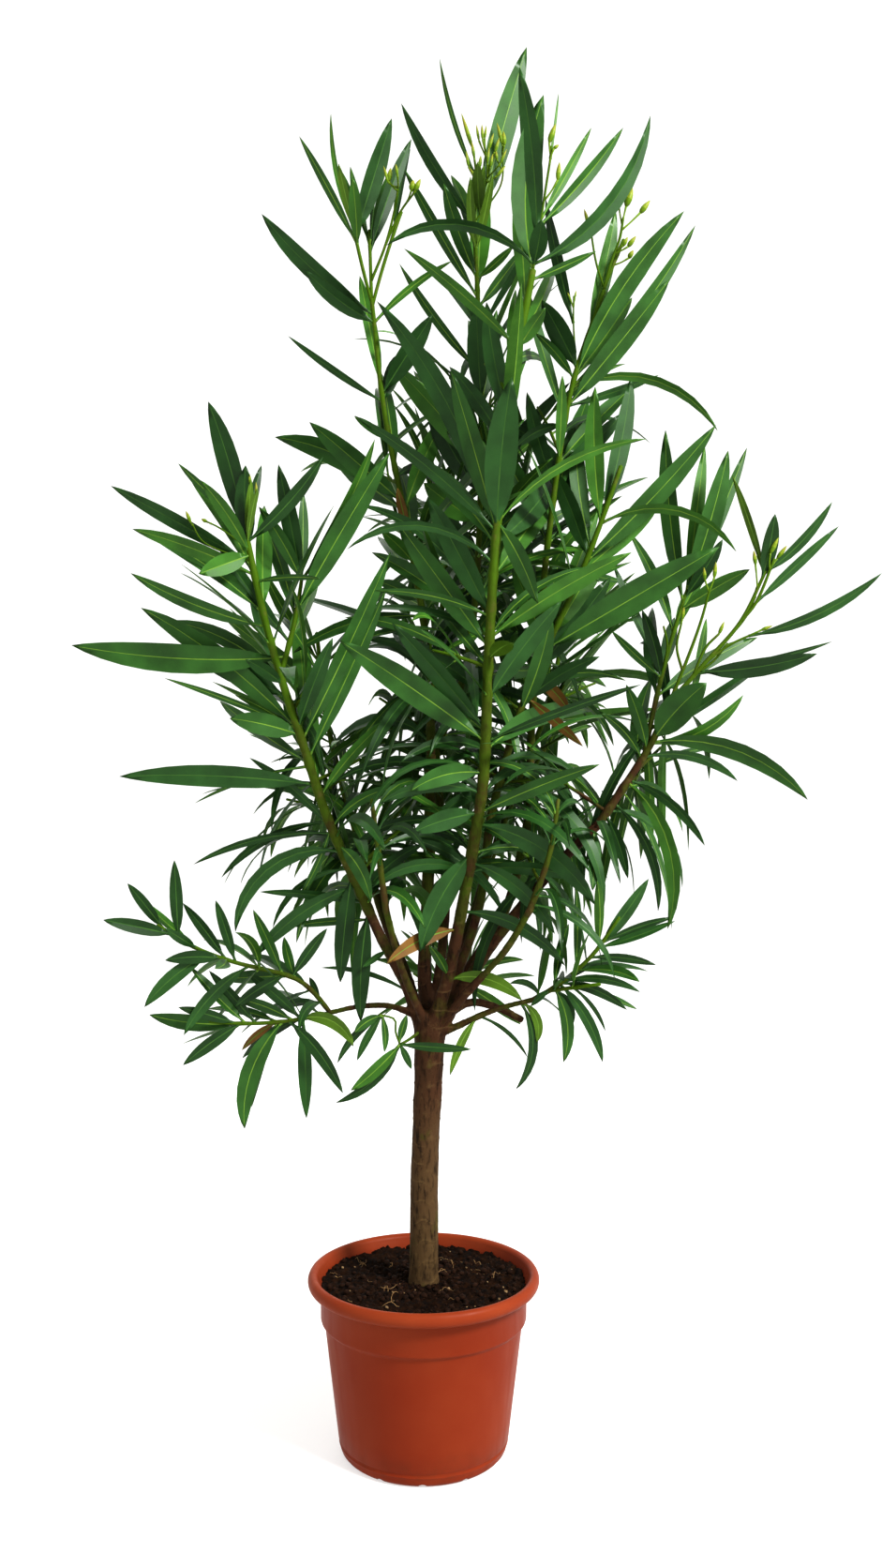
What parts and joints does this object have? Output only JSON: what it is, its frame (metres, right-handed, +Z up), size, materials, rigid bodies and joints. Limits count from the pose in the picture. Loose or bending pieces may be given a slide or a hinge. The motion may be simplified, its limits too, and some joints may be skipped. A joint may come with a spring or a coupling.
{
  "type": "potted oleander",
  "caption": "Standard oleander shrub on one bare trunk, with a leafy crown of whorled lance-shaped leaves and flower buds, in a round terracotta-coloured plastic nursery pot of soil.",
  "frame": {"origin": "centre of the pot's flat underside", "axes": "+Z up along the trunk, -Y towards the viewer of the picture, +X to the viewer's right"},
  "size_m": [0.673, 0.4806, 1.2447],
  "materials": {
    "pot": "satin terracotta-coloured plastic",
    "soil": "moist crumbly potting soil with pale root fibres",
    "trunk_bark": "matte grey-brown bark",
    "bough_bark": "matte reddish brown bark",
    "foliage": "leathery dark green leaves with pale midribs"
  },
  "bodies": {
    "root": {"pot": "pot", "soil": "soil", "trunk": "trunk_bark", "middle_bough": "bough_bark", "front_bough": "bough_bark", "left_bough": "bough_bark", "right_bough": "bough_bark", "inner_bough": "bough_bark", "centre_bough": "bough_bark", "centre_right_bough": "bough_bark", "back_left_bough": "bough_bark", "back_right_bough": "bough_bark", "back_bough": "bough_bark", "inner_left_bough": "bough_bark", "inner_right_bough": "bough_bark", "low_left_bough": "bough_bark", "low_right_bough": "bough_bark", "low_back_bough": "bough_bark", "pruned_stub": "bough_bark", "left_crown": "foliage", "front_crown": "foliage", "right_crown": "foliage", "left_tall": "foliage", "centre_tall": "foliage", "right_tall": "foliage", "right_mid": "foliage", "inner_left": "foliage", "inner_right": "foliage", "back_left": "foliage", "back_right": "foliage", "back_centre": "foliage", "low_left_spray": "foliage", "low_right_spray": "foliage", "low_back_spray": "foliage", "hanging_sprig": "foliage"}
  },
  "joints": []
}
